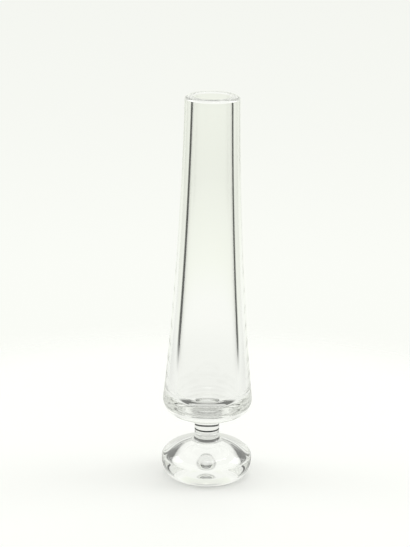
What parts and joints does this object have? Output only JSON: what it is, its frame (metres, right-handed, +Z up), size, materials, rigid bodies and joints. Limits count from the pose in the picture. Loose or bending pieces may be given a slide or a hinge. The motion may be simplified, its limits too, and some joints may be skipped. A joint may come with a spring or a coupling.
{
  "type": "footed bud vase",
  "caption": "Tall clear glass bud vase with a narrow polished mouth, a wall that widens gently down to a thick rounded base, a short solid stem and a pebble-shaped foot.",
  "frame": {"origin": "centre of the foot's underside, on the plane that the vase stands on", "axes": "+Z up along the axis that every piece is round about; X and Y are alike"},
  "size_m": [0.058, 0.058, 0.25],
  "materials": {
    "clear_glass": "fire-polished, clear and colourless"
  },
  "bodies": {
    "root": {"body": "clear_glass", "stem": "clear_glass", "foot": "clear_glass"}
  },
  "joints": []
}
